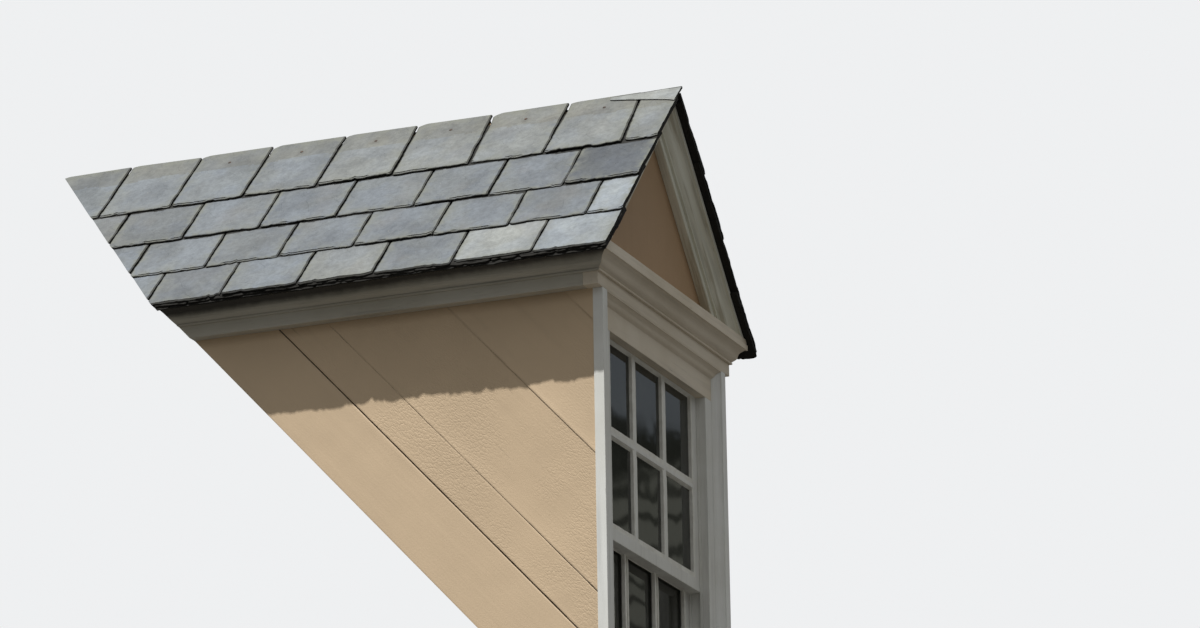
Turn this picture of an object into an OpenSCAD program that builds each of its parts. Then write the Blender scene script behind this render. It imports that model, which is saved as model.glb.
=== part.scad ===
// Gabled roof dormer with one double-hung window, built as a carpenter builds it:
// a timber frame on a sloping roof, boarded cheeks, a pedimented front and a slated roof.
// Axes: X to the right seen from the front, Y back into the roof, Z up.
// The origin is the centre of the underside of the front sole.

/* [Window] */
// Width of the daylight of one pane
pane_w = 190; // [170:1:215]
// Height of the daylight of one pane
pane_h = 235; // [205:1:265]
// Panes across a sash
panes_across = 3; // [2:1:4]
// Panes up a sash
panes_up = 2; // [2:1:3]
// Face width of a glazing bar
bar_w = 22; // [18:1:28]
// Face width of a sash stile
stile_w = 50; // [45:1:60]
// Height of the upper sash's top rail
top_rail = 46; // [42:1:60]
// Height of the two rails that meet
meeting_rail = 38; // [30:1:45]
// Height of the lower sash's bottom rail
bottom_rail = 54; // [45:1:70]
// Thickness of a sash
sash_t = 29; // [27:1:35]
// Thickness of the glass
glass_t = 3; // [2:0.5:4]
// Width of the glazing rebate round each pane
rebate_w = 5; // [4:0.5:6]
// Depth of the glazing rebate from the outside face
rebate_d = 12; // [10:1:14]
// Width of the rounded edge round each pane on the room side
ovolo_w = 6; // [4:0.5:8]
// Depth of that rounded edge
ovolo_d = 10; // [6:1:12]
// Play between a sash and its jamb
sash_play = 1; // [0.5:0.5:2]
// Play between the two meeting rails
rail_play = 0.5; // [0.3:0.1:1]

/* [Window frame] */
// Thickness of the jambs
jamb_t = 18; // [16:1:22]
// Thickness of the outer stop in front of the upper sash
stop_t = 8; // [6:1:12]
// How far the outer stop and the casing lap over the sash's stile
stop_lap = 15; // [10:1:18]
// How far they lap over its top rail
head_lap = 40; // [30:1:42]
// Thickness of the parting bead between the sashes
bead_t = 6; // [4:1:8]
// How far the parting bead stands out of the jamb
bead_lap = 6; // [4:1:8]
// How far the inner stop stands out of the jamb
inner_lap = 12; // [8:1:16]
// Height of the sill's front face
sill_face = 50; // [45:1:55]
// Height of the sill under the lower sash
sill_seat = 62; // [60:1:66]
// Height of the step in the sill in front of the lower sash
sill_step = 4; // [2:1:6]

/* [Timber frame] */
// Section of a corner post, across the front
post_w = 43; // [38:1:48]
// Depth of the front wall's posts, sole and header
post_d = 90; // [85:1:110]
// Height of the front sole, which the main roof hides
sole_h = 45; // [35:1:60]
// Width of a side sole
sole_w = 70; // [60:1:90]
// Depth of a cheek stud and of the gable stud
stud_d = 70; // [50:1:90]
// Thickness of studs, rafters and side soles
timber_t = 45; // [38:1:50]
// Spacing of the cheek studs and of the rafters, front to back
frame_spacing = 370; // [330:5:410]
// Depth of a top plate and of the window header
plate_h = 60; // [45:1:70]
// Top of the plates below the top of the crown moulding
plate_set = 26; // [20:1:32]
// Depth of a rafter
rafter_d = 90; // [70:1:100]
// Thickness of the ridge board
ridge_t = 22; // [18:1:32]
// Depth of the ridge board
ridge_d = 120; // [90:1:150]

/* [Roof] */
// Slope of the main roof that the dormer stands on, in degrees
main_pitch = 47; // [45:1:49]
// Slope of the dormer's own roof, in degrees
gable_pitch = 47; // [46:1:48]
// Main roof's surface behind the front face, level with the sill's underside
roof_y = 10; // [5:1:15]
// Slates past the cheek at the eaves
eave_overhang = 117; // [110:1:125]
// Slates past the front face at the gable
gable_overhang = 55; // [50:1:60]
// Lowest edge of the slates below the top of the crown moulding
eave_drop = 17; // [14:1:20]
// Thickness of one slate
slate_t = 6; // [5:0.5:8]
// Thickness of the roof boards
deck_t = 20; // [16:1:24]
// Edge of the roof boards behind the crown moulding's edge
deck_set = 5; // [2:1:10]
// Height of the slate tails above the eave, measured up the slope
course_rise = [0, 175, 355, 550]; // [0:1:600]
// How far the left-hand slates stand above the ridge
comb_h = 16; // [14:1:24]

/* [Boards] */
// Thickness of the cheek boards and of the tympanum
cheek_t = 22; // [18:1:25]
// Distance of each cheek joint from the roof surface, measured square to it
cheek_joint = [180, 282, 530, 770]; // [100:1:900]
// Width of the open joint between two cheek boards
joint_w = 3; // [2:0.5:5]
// Depth of that joint
joint_d = 4; // [2:0.5:6]

/* [Trim] */
// Thickness of the casing boards
casing_t = 20; // [18:1:25]
// Casing's face behind the backband's face
casing_set = 22; // [18:1:26]
// Face width of the backband
band_w = 32; // [26:1:36]
// Depth of the backband's edge along the cheek
band_d = 28; // [26:1:32]
// Width of the ogee inside the backband
ogee_w = 24; // [20:1:28]
// Small square step between a moulded face and a flat one
quirk = 3; // [2:0.5:4]
// Flat of the head casing below its ogee
head_flat = 61; // [50:1:70]
// Flat between the head's ogee and the frieze
head_fillet = 4; // [2:1:8]
// Frieze's projection past the cheek
frieze_t = 32; // [25:1:38]
// Frieze's height below the crown moulding
frieze_h = 34; // [30:1:45]
// Projection of the crown moulding
crown_p = 40; // [36:1:44]
// Height of the crown moulding
crown_h = 59; // [55:1:63]
// Projection of the bead at the crown's foot
foot_p = 7; // [5:1:10]
// Height of the bead at the crown's foot
foot_h = 5; // [4:1:8]
// Height of the flat at the crown's top
cap_h = 15; // [12:1:18]
// That flat in front of the ogee below it
cap_set = 6; // [4:1:8]

/* [Pediment] */
// Tympanum's face behind the backband's face
tympanum_set = 31; // [27:1:35]
// Width of a raking fascia below the roof boards, square to the slope
rake_h = 57; // [50:1:59]
// Face of the raking fascias behind the backband's face
rake_set = 6; // [4:1:8]
// Height of the wash board on the cornice's top
wash_t = 16; // [12:1:20]
// Front edge of that board behind the crown moulding's edge
wash_set = 2; // [1:1:4]

/* [Hidden] */

// Longer than the whole dormer, for cutting bodies
far = 4000;
// Past the face of what is cut
past = 1;

// Heights from the underside of the sill
light_h = panes_up * pane_h + (panes_up - 1) * bar_w;
lower_z = sill_seat;
lower_glass_z = lower_z + bottom_rail;
upper_z = lower_glass_z + light_h;
upper_glass_z = upper_z + meeting_rail;
sash_top = upper_glass_z + light_h + top_rail;
head_z = sash_top - head_lap;
ogee_z = head_z + head_flat;
band_z = ogee_z + ogee_w;
frieze_z = band_z + head_fillet;
crown_z = frieze_z + frieze_h;
crown_top = crown_z + crown_h;
plate_top = crown_top - plate_set;
plate_z = plate_top - plate_h;

// Widths from the middle of the front
light_w = panes_across * pane_w + (panes_across - 1) * bar_w;
sash_half = light_w / 2 + stile_w;
jamb_in = sash_half + sash_play;
post_in = jamb_in + jamb_t;
post_out = post_in + post_w;
cheek_out = post_out + cheek_t;
casing_in = sash_half - stop_lap;
band_in = cheek_out - band_w;
ogee_x = band_in - ogee_w;
frieze_x = cheek_out + frieze_t;
crown_x = frieze_x + crown_p;
eave_x = cheek_out + eave_overhang;

// Depths from the backband's face
post_y = casing_set + casing_t;
wall_back = post_y + post_d;
upper_y = post_y + stop_t;
bead_y = upper_y + sash_t;
lower_y = bead_y + bead_t;
inner_stop_y = lower_y + sash_t;

// Roof, with depths below its surface square to it
eave_z = crown_top - eave_drop;
ridge_z = eave_z + eave_x * tan(gable_pitch);
slope_len = eave_x / cos(gable_pitch);
slates_t = 3 * slate_t;
deck_under = slates_t + deck_t;
rafter_under = deck_under + rafter_d;
ridge_foot = ridge_z - deck_under / cos(gable_pitch) - ridge_d;
tympanum_back = tympanum_set + cheek_t;
cheek_top = ridge_z - deck_under / cos(gable_pitch) - cheek_out * tan(gable_pitch);
// Depth at which the main roof reaches a height
function meets_roof(z) = roof_y + z / tan(main_pitch);
// Depth at which the whole dormer has met the main roof
back_y = meets_roof(ridge_z + 2 * comb_h);
// Studs stand wherever the plate runs over their whole depth, behind the corner post
stud_y = [for (y = post_y + frame_spacing; y + stud_d < meets_roof(plate_z); y = y + frame_spacing) y];
// Rafters stand wherever they reach the plates
rafter_y = [for (y = tympanum_back; y + timber_t < meets_roof(plate_top); y = y + frame_spacing) y];

white_paint = [0.86, 0.85, 0.81];
cheek_paint = [0.83, 0.70, 0.55];
slate_grey = [0.66, 0.69, 0.72];
raw_timber = [0.62, 0.50, 0.36];
glass_dark = [0.12, 0.15, 0.16];

// Moves the model so that the origin is the centre of the front sole's underside
module placed() { translate([0, -post_y - post_d / 2, sole_h]) children(); }
// Draws a piece for the left side as the mirror image of the right one
module side(s) { if (s < 0) mirror([1, 0, 0]) children(); else children(); }
// A box between two values on each axis
module box(x0, x1, y0, y1, z0, z1) { translate([x0, y0, z0]) cube([x1 - x0, y1 - y0, z1 - z0]); }
// Extrudes a profile drawn in (Y, Z) along X
module run_x(x0, x1) { translate([x0, 0, 0]) rotate([90, 0, 90]) linear_extrude(x1 - x0) children(); }
// Extrudes a profile drawn in (X, Z) along Y
module run_y(y0, y1) { translate([0, y1, 0]) rotate([90, 0, 0]) linear_extrude(y1 - y0) children(); }
// Extrudes a profile drawn in (X, Y) up Z
module run_z(z0, z1) { translate([0, 0, z0]) linear_extrude(z1 - z0) children(); }
// Frame of the right-hand slope: x down the slope from the ridge, z square to it
module on_slope() { translate([0, 0, ridge_z]) rotate([0, gable_pitch, 0]) children(); }
// Frame of the main roof: y up the slope, z square to it
module on_main_roof() { translate([0, roof_y, 0]) rotate([main_pitch, 0, 0]) children(); }
// Everything deeper than a distance below both slopes of the dormer's roof
module below_roof(depth) {
    intersection() {
        on_slope() box(-far, far, -far, far, -far, -depth);
        side(-1) on_slope() box(-far, far, -far, far, -far, -depth);
    }
}
// Takes away what lies below the main roof's surface
module above_main_roof() {
    difference() {
        children();
        on_main_roof() box(-far, far, -far, far, -far, 0);
    }
}
// Takes away what lies on the other side of the ridge
module right_of_ridge() {
    intersection() {
        children();
        box(0, far, -far, far, -far, far);
    }
}
// Points of an ogee between two corners, bulging first and hollow after
function ogee(a, b, bulge = 0.7, n = 12) = [for (i = [0:n]) let (t = i / n)
    [a[0] + (b[0] - a[0]) * (t + bulge * sin(360 * t) / (2 * PI)), a[1] + (b[1] - a[1]) * t]];

// Timber frame
module front_sole() { color(raw_timber) box(-post_out, post_out, post_y, wall_back, -sole_h, 0); }
module side_sole() {
    color(raw_timber) intersection() {
        on_main_roof() box(post_out - sole_w, post_out, 0, far, 0, timber_t);
        box(0, far, wall_back, far, 0, plate_z);
    }
}
module corner_post() { color(raw_timber) box(post_in, post_out, post_y, wall_back, 0, plate_z); }
module window_header() {
    color(raw_timber) box(-post_in, post_in, post_y, wall_back, sash_top + jamb_t, plate_top);
}
module cheek_studs() {
    color(raw_timber) for (y = stud_y) difference() {
        box(post_in, post_out, y, y + stud_d, 0, plate_z);
        on_main_roof() box(-far, far, -far, far, -far, timber_t);
    }
}
module top_plate() {
    color(raw_timber) above_main_roof() box(post_in, post_out, post_y, back_y, plate_z, plate_top);
}
module ridge_board() {
    color(raw_timber) above_main_roof() intersection() {
        box(-ridge_t / 2, ridge_t / 2, tympanum_back, back_y, ridge_foot, far);
        below_roof(deck_under);
    }
}
module rafters() {
    color(raw_timber) above_main_roof() for (y = rafter_y) difference() {
        intersection() {
            on_slope() box(-far, far, y, y + timber_t, -rafter_under, -deck_under);
            box(ridge_t / 2, post_out, y, y + timber_t, 0, far);
        }
        box(post_in, post_out + past, -far, far, -far, plate_top);
    }
}
module gable_stud() {
    color(raw_timber) intersection() {
        box(-timber_t / 2, timber_t / 2, tympanum_back, tympanum_back + stud_d, plate_top, ridge_foot);
        below_roof(rafter_under);
    }
}

// Boards
module cheek_boards() {
    color(cheek_paint) difference() {
        above_main_roof() union() {
            box(post_out, cheek_out, band_d, back_y, 0, cheek_top);
            run_x(post_out, cheek_out) intersection() {
                sill_profile();
                square([band_d, sill_seat]);
            }
        }
        on_main_roof() for (d = cheek_joint) box(cheek_out - joint_d, far, -far, far, d, d + joint_w);
    }
}
module tympanum() {
    color(cheek_paint) intersection() {
        box(-far, far, tympanum_set, tympanum_back, crown_top, far);
        below_roof(deck_under);
    }
}
module roof_boards() {
    color(raw_timber) above_main_roof() right_of_ridge() intersection() {
        on_slope() box(-far, far, rake_set, back_y, -deck_under, -slates_t);
        box(0, crown_x - deck_set, -far, far, crown_top, far);
    }
}
// Slates in stepped courses: each tail stands a slate's thickness above the course below
tail_x = [for (r = course_rise) slope_len - r];
head_x = [for (i = [1:len(tail_x)]) i == len(tail_x) ? 0 : tail_x[i]];
past_ridge = -2 * slates_t;
course_points = concat([[tail_x[0], -slates_t]],
    [for (i = [0:len(tail_x) - 1]) each [[tail_x[i], 0], [head_x[i], -slate_t]]],
    [[past_ridge, -slate_t], [past_ridge, -slates_t]]);
module slope_of_slates() {
    above_main_roof() right_of_ridge() on_slope() run_y(-gable_overhang, back_y) polygon(course_points);
}
// The left-hand top slates run past the ridge, over the heads of the right-hand ones
module comb(top = -slate_t) {
    above_main_roof() on_slope() box(-comb_h, comb_h, -gable_overhang, back_y, -2 * slate_t, top);
}
module left_slates() {
    color(slate_grey) side(-1) union() {
        slope_of_slates();
        comb();
    }
}
module right_slates() {
    color(slate_grey) difference() {
        slope_of_slates();
        side(-1) comb(far);
    }
}

// Window frame
sill_line = [[0, sill_face], [lower_y - sill_step, sill_seat - sill_step], [lower_y, sill_seat]];
module sill_profile() {
    polygon(concat([[0, 0]], sill_line, [[wall_back, sill_seat], [wall_back, 0]]));
}
module window_sill() {
    color(white_paint) {
        run_x(-post_in, post_in) sill_profile();
        run_x(-post_out, post_out) intersection() {
            sill_profile();
            square([post_y, sill_seat]);
        }
    }
}
// Takes away what lies below the sill's top
module off_the_sill() {
    difference() {
        children();
        run_x(-far, far) polygon(concat([[-far, -far], [-far, sill_face]], sill_line,
            [[far, sill_seat], [far, -far]]));
    }
}
module jamb() {
    color(white_paint) off_the_sill() {
        box(jamb_in, post_in, post_y, wall_back, 0, sash_top);
        box(casing_in, jamb_in, post_y, upper_y, 0, head_z);
    }
}
module head_jamb() {
    color(white_paint) {
        box(-post_in, post_in, post_y, wall_back, sash_top, sash_top + jamb_t);
        box(-jamb_in, jamb_in, post_y, upper_y, head_z, sash_top);
    }
}
// A bead round both jambs and the head
module bead(y0, y1, lap) {
    color(white_paint) off_the_sill() difference() {
        box(-jamb_in, jamb_in, y0, y1, 0, sash_top);
        box(-jamb_in + lap, jamb_in - lap, y0 - past, y1 + past, -past, sash_top - lap);
    }
}
module parting_bead() { bead(bead_y, lower_y, bead_lap); }
module inner_stop() { bead(inner_stop_y, wall_back, inner_lap); }

// Casing and backband
module casing() {
    color(white_paint) off_the_sill() box(casing_in, post_out, casing_set, post_y, 0, head_z);
}
module band_profile() {
    polygon(concat([[post_out, casing_set], [ogee_x, casing_set]],
        [for (p = ogee([casing_set, ogee_x], [quirk, band_in])) [p[1], p[0]]],
        [[band_in, 0], [cheek_out, 0], [cheek_out, band_d], [post_out, band_d]]));
}
// The corner in front of which the upright and the level ogee meet at 45 degrees
module under_the_mitre() {
    run_y(-far, far) polygon([[-ogee_x, ogee_z], [ogee_x, ogee_z],
        [ogee_x + far, ogee_z + far], [-ogee_x - far, ogee_z + far]]);
}
module backband() {
    color(white_paint) off_the_sill() difference() {
        run_z(0, frieze_z) band_profile();
        under_the_mitre();
    }
}
module head_casing() {
    color(white_paint) {
        box(-post_out, post_out, casing_set, post_y, head_z, frieze_z);
        intersection() {
            run_x(-far, far) polygon(concat([[casing_set, ogee_z]],
                ogee([casing_set, ogee_z], [quirk, band_z]),
                [[0, band_z], [0, frieze_z], [casing_set, frieze_z]]));
            under_the_mitre();
        }
    }
}

// Sashes: glazed from outside, with a rounded edge inside and a bevel where the rails meet
pane_x = [for (i = [0:panes_across - 1]) -light_w / 2 + i * (pane_w + bar_w)];
pane_z = [for (j = [0:panes_up - 1]) j * (pane_h + bar_w)];
ovolo_step = 22.5;
// Outline of one pane's rounded edge across a width, from the inside face out
function ovolo(a, b, y) = concat(
    [for (t = [0:ovolo_step:90]) [a - ovolo_w * (1 - cos(t)), y + ovolo_d * sin(t) - ovolo_d]],
    [[a - ovolo_w, y + past], [b + ovolo_w, y + past]],
    [for (t = [90:-ovolo_step:0]) [b + ovolo_w * (1 - cos(t)), y + ovolo_d * sin(t) - ovolo_d]]);
module pane_opening(x, y, z) {
    box(x, x + pane_w, y - past, y + sash_t + past, z, z + pane_h);
    box(x - rebate_w, x + pane_w + rebate_w, y - far / 2, y + rebate_d,
        z - rebate_w, z + pane_h + rebate_w);
    intersection() {
        run_z(z - ovolo_w, z + pane_h + ovolo_w) polygon(ovolo(x, x + pane_w, y + sash_t));
        run_x(x - ovolo_w, x + pane_w + ovolo_w)
            polygon([for (p = ovolo(z, z + pane_h, y + sash_t)) [p[1], p[0]]]);
    }
}
// Where the meeting rails meet: the level at which their bevel ends
bevel_top = upper_glass_z - ovolo_w;
bevel_half = jamb_in - bead_lap - sash_play;
module sash(y, z, glass_z, top) {
    color(white_paint) difference() {
        union() {
            box(-sash_half, sash_half, y, y + sash_t, z, top);
            children();
        }
        for (x = pane_x, pz = pane_z) pane_opening(x, y, glass_z + pz);
    }
}
module upper_sash() {
    sash(upper_y, upper_z, upper_glass_z, sash_top) run_x(-bevel_half, bevel_half)
        polygon([[bead_y - past, upper_z], [lower_y - rail_play, upper_z], [bead_y, bevel_top],
            [bead_y - past, bevel_top]]);
}
module lower_sash() {
    sash(lower_y, lower_z, lower_glass_z, upper_glass_z) run_x(-bevel_half, bevel_half)
        polygon([[lower_y, upper_z], [lower_y + past, upper_z], [lower_y + past, upper_glass_z],
            [bead_y + rail_play, upper_glass_z], [bead_y + rail_play, bevel_top]]);
}
module panes(y, glass_z) {
    color(glass_dark) for (x = pane_x, pz = pane_z)
        box(x - rebate_w, x + pane_w + rebate_w, y + rebate_d - glass_t, y + rebate_d,
            glass_z + pz - rebate_w, glass_z + pz + pane_h + rebate_w);
}
module upper_glass() { panes(upper_y, upper_glass_z); }
module lower_glass() { panes(lower_y, lower_glass_z); }

// Cornice
module front_frieze() { color(white_paint) box(-frieze_x, frieze_x, 0, post_y, frieze_z, crown_top); }
module side_frieze() {
    color(white_paint) above_main_roof() box(cheek_out, frieze_x, post_y, back_y, frieze_z, crown_top);
}
// Crown profile: projection from the frieze, height above the crown's foot
crown_points = concat([[0, 0], [foot_p, 0], [foot_p, foot_h]],
    ogee([foot_p - quirk, foot_h], [crown_p - cap_set, crown_h - cap_h]),
    [[crown_p, crown_h - cap_h], [crown_p, crown_h], [0, crown_h]]);
// Everything behind the mitre at the right-hand front corner
module behind_mitre() {
    translate([frieze_x, 0, 0]) rotate(45) translate([0, -far, -far]) cube([2 * far, 2 * far, 2 * far]);
}
module front_crown() {
    color(white_paint) difference() {
        run_x(-far / 2, far / 2) polygon([for (p = crown_points) [-p[0], crown_z + p[1]]]);
        behind_mitre();
        side(-1) behind_mitre();
    }
}
module side_crown() {
    color(white_paint) above_main_roof() intersection() {
        run_y(-2 * crown_p, back_y) polygon([for (p = crown_points) [frieze_x + p[0], crown_z + p[1]]]);
        behind_mitre();
    }
}
// Board on the cornice's top, from its front edge to the tympanum and under the raking pieces
wash_top = crown_top + wash_t;
wash_x = crown_x - wash_set;
module cornice_wash() {
    color(white_paint) {
        intersection() {
            box(-wash_x, wash_x, wash_set - crown_p, rake_set, crown_top, wash_top);
            below_roof(slates_t);
        }
        intersection() {
            box(-wash_x, wash_x, rake_set, tympanum_set, crown_top, wash_top);
            below_roof(deck_under);
        }
    }
}
// Raking fascia below the roof boards, and the crown moulding on its face below the slates
module up_the_rake() {
    color(white_paint) right_of_ridge() intersection() {
        on_slope() run_x(-far / 4, slope_len) children();
        box(-far, far, -far, far, wash_top, far);
    }
}
module raking_fascia() {
    up_the_rake() polygon([[rake_set, -deck_under], [tympanum_set, -deck_under],
        [tympanum_set, -deck_under - rake_h], [rake_set, -deck_under - rake_h]]);
}
module raking_crown() {
    up_the_rake() polygon([for (p = crown_points) [rake_set - p[0], p[1] - crown_h - slates_t]]);
}

placed() front_sole();
placed() side(-1) side_sole();  // left_side_sole
placed() side_sole();  // right_side_sole
placed() side(-1) corner_post();  // left_corner_post
placed() corner_post();  // right_corner_post
placed() window_header();
placed() side(-1) cheek_studs();  // left_cheek_studs
placed() cheek_studs();  // right_cheek_studs
placed() side(-1) top_plate();  // left_top_plate
placed() top_plate();  // right_top_plate
placed() ridge_board();
placed() side(-1) rafters();  // left_rafters
placed() rafters();  // right_rafters
placed() gable_stud();
placed() side(-1) cheek_boards();  // left_cheek_boards
placed() cheek_boards();  // right_cheek_boards
placed() tympanum();
placed() side(-1) roof_boards();  // left_roof_boards
placed() roof_boards();  // right_roof_boards
placed() left_slates();
placed() right_slates();
placed() window_sill();
placed() side(-1) jamb();  // left_jamb
placed() jamb();  // right_jamb
placed() head_jamb();
placed() parting_bead();
placed() inner_stop();
placed() side(-1) casing();  // left_casing
placed() casing();  // right_casing
placed() head_casing();
placed() side(-1) backband();  // left_backband
placed() backband();  // right_backband
placed() upper_sash();
placed() lower_sash();
placed() upper_glass();
placed() lower_glass();
placed() front_frieze();
placed() side(-1) side_frieze();  // left_frieze
placed() side_frieze();  // right_frieze
placed() front_crown();
placed() side(-1) side_crown();  // left_crown
placed() side_crown();  // right_crown
placed() cornice_wash();
placed() side(-1) raking_fascia();  // left_raking_fascia
placed() raking_fascia();  // right_raking_fascia
placed() side(-1) raking_crown();  // left_raking_crown
placed() raking_crown();  // right_raking_crown
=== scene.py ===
import math
import random

import bmesh
import bpy
import numpy as np
from mathutils import Matrix, Vector, noise


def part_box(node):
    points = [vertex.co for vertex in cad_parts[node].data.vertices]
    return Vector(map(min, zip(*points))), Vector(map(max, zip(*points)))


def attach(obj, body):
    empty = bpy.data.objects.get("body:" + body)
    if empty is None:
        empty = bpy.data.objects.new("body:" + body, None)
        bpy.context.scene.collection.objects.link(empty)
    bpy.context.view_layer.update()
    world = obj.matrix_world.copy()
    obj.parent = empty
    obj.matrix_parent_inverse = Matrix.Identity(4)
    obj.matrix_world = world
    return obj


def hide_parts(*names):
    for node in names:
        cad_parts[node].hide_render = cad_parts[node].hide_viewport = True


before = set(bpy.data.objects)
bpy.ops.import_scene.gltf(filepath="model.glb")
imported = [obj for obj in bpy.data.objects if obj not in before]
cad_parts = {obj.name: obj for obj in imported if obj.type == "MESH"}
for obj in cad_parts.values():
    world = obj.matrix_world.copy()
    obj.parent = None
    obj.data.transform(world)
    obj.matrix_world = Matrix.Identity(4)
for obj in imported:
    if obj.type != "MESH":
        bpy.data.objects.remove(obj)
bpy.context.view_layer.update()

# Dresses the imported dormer: single slates, laid boards, putty and worn edges in place of its plain
# solids, with old paint, slate, timber and glass, in the photo's light and from its camera.

# Sizes are in millimetres, measured as in the part's source: X from the middle, Y back from the
# front face of the backbands and Z up from the underside of the sill.
FACE_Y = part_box("left_backband")[0].y
SILL_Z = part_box("window_sill")[0].z
ORIGIN = np.array([0.0, FACE_Y, SILL_Z])

# Names of the two sides, as seen from the front
SIDE = {-1: "left", 1: "right"}


def lowest(node):
    """Lower corner of a CAD piece's box."""
    return (np.array(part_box(node)[0]) - ORIGIN) * 1000


def highest(node):
    """Upper corner of a CAD piece's box."""
    return (np.array(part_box(node)[1]) - ORIGIN) * 1000


# The main roof and the dormer's own slopes have one pitch
PITCH = math.radians(47)
COS = math.cos(PITCH)
SIN = math.sin(PITCH)

# The main roof: how far back its plane starts, and a point on that plane with the way out of it
ROOF_Y = 10
MAIN_ROOF = ((0, ROOF_Y, 0), (0, SIN, -COS))

# Thickness of the slates at the eave, and of the roof boards under them
STACK = 18
DECK = 20

CHEEK_X = highest("right_cheek_boards")[0]
CHEEK_TOP = highest("right_cheek_boards")[2]
POST_X = highest("right_corner_post")[0]
BAND_D = highest("left_backband")[1]
CROWN_TOP = highest("front_crown")[2]
EAVE_X = highest("right_slates")[0]
GABLE_Y = lowest("right_slates")[1]
DECK_Y = lowest("right_roof_boards")[1]
DECK_X = highest("right_roof_boards")[0]
RIDGE_Z = lowest("right_slates")[2] + STACK * COS + EAVE_X * SIN / COS
EAVE_U = EAVE_X / COS


def on_slope(side, u, v, h):
    """Points on a slope: u down from the ridge, v back from the front, h square to the slates."""
    u, v, h = np.broadcast_arrays(u, v, h)
    return np.stack([side * (u * COS + h * SIN), v, RIDGE_Z - u * SIN + h * COS], -1)


def on_cheek(side, s, d, x):
    """Points of a cheek: s up along the main roof, d square to it, x out from the middle."""
    s, d, x = np.broadcast_arrays(s, d, x)
    return np.stack([side * x, ROOF_Y + s * COS - d * SIN, s * SIN + d * COS], -1)


def meets_roof(z):
    """How far back the main roof is at a height."""
    return ROOF_Y + z / math.tan(PITCH)


def rough(x, y, seed, size):
    """Smooth noise between about -1 and 1 over a grid, with bumps of a size."""
    x, y = np.broadcast_arrays(np.asarray(x, float), np.asarray(y, float))
    flat = [noise.noise(Vector((a / size, b / size, seed * 7.31)))
            for a, b in zip(x.ravel(), y.ravel())]
    return np.array(flat).reshape(x.shape)


# Meshes

class Bag:
    """Points and faces of many loose slabs that make one piece."""

    FACE_VALUES = ("tone", "warm", "rim")
    POINT_VALUES = ("edge", "stain")

    def __init__(self):
        self.points = []
        self.faces = []
        self.values = {key: [] for key in self.FACE_VALUES + self.POINT_VALUES}

    def add(self, points, faces, **values):
        """Adds points and faces, with a number or a list of numbers for each value."""
        start = len(self.points)
        self.points.extend(np.asarray(points).tolist())
        self.faces.extend(tuple(start + i for i in face) for face in faces)
        for key, numbers in self.values.items():
            count = len(faces) if key in self.FACE_VALUES else len(points)
            numbers.extend(np.broadcast_to(values.get(key, 0.0), count).tolist())

    def slab(self, top, under, **values):
        """A closed slab from a grid of points on its face and the same grid on its underside."""
        rows, columns = top.shape[:2]
        index = np.arange(rows * columns).reshape(rows, columns)
        rim = [*index[0], *index[1:, -1], *index[-1, -2::-1], *index[-2:0:-1, 0]]
        turns = len(rim)
        low = rows * columns + np.arange(turns)
        faces = [(index[i, j], index[i, j + 1], index[i + 1, j + 1], index[i + 1, j])
                 for i in range(rows - 1) for j in range(columns - 1)]
        faces += [(rim[k], low[k], low[(k + 1) % turns], rim[(k + 1) % turns])
                  for k in range(turns)]
        faces.append(tuple(low))
        points = np.vstack([top.reshape(-1, 3), under.reshape(-1, 3)[rim]])
        values.setdefault("rim", 0.0)
        spread = {}
        for key, value in values.items():
            if key in self.POINT_VALUES:
                spread[key] = np.concatenate([np.ravel(value), np.zeros(turns)])
            else:
                # Side walls and undersides take the full rim value: on slates that paints them near
                # black as shade
                hidden = 1.0 if key == "rim" else np.mean(value)
                face_values = np.broadcast_to(value, (rows - 1, columns - 1)).ravel()
                spread[key] = np.concatenate([face_values, np.full(turns + 1, hidden)])
        self.add(points, [tuple(int(i) for i in face) for face in faces], **spread)

    def piece(self, name, material, slot, cuts=(), replaces=()):
        """Makes the object, cut off at planes: a point on each plane and the way out of it."""
        mesh = bpy.data.meshes.new(name)
        mesh.from_pydata((np.array(self.points) / 1000 + ORIGIN).tolist(), [], self.faces)
        for key, numbers in self.values.items():
            domain = "FACE" if key in self.FACE_VALUES else "POINT"
            mesh.attributes.new(key, "FLOAT", domain).data.foreach_set("value", numbers)
        bm = bmesh.new()
        bm.from_mesh(mesh)
        for point, out in cuts:
            cut(bm, np.array(point) / 1000 + ORIGIN, out)
        bmesh.ops.recalc_face_normals(bm, faces=bm.faces)
        bm.to_mesh(mesh)
        bm.free()
        mesh.materials.append(material)
        show(name, mesh, replaces)


def cut(bm, point, out):
    """Takes away what lies past a plane and closes the cut."""
    made = bmesh.ops.bisect_plane(bm, geom=bm.verts[:] + bm.edges[:] + bm.faces[:],
                                  dist=1e-6, plane_co=point, plane_no=out, clear_outer=True)
    edges = [e for e in made["geom_cut"] if isinstance(e, bmesh.types.BMEdge) and e.is_boundary]
    if edges:
        bmesh.ops.edgeloop_fill(bm, edges=edges)


def show(name, mesh, replaces=()):
    """Puts a mesh in the scene as a piece that rides on the part."""
    piece = bpy.data.objects.new(name, mesh)
    bpy.context.scene.collection.objects.link(piece)
    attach(piece, "root")
    if replaces:
        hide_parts(*replaces)


# Materials

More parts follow.
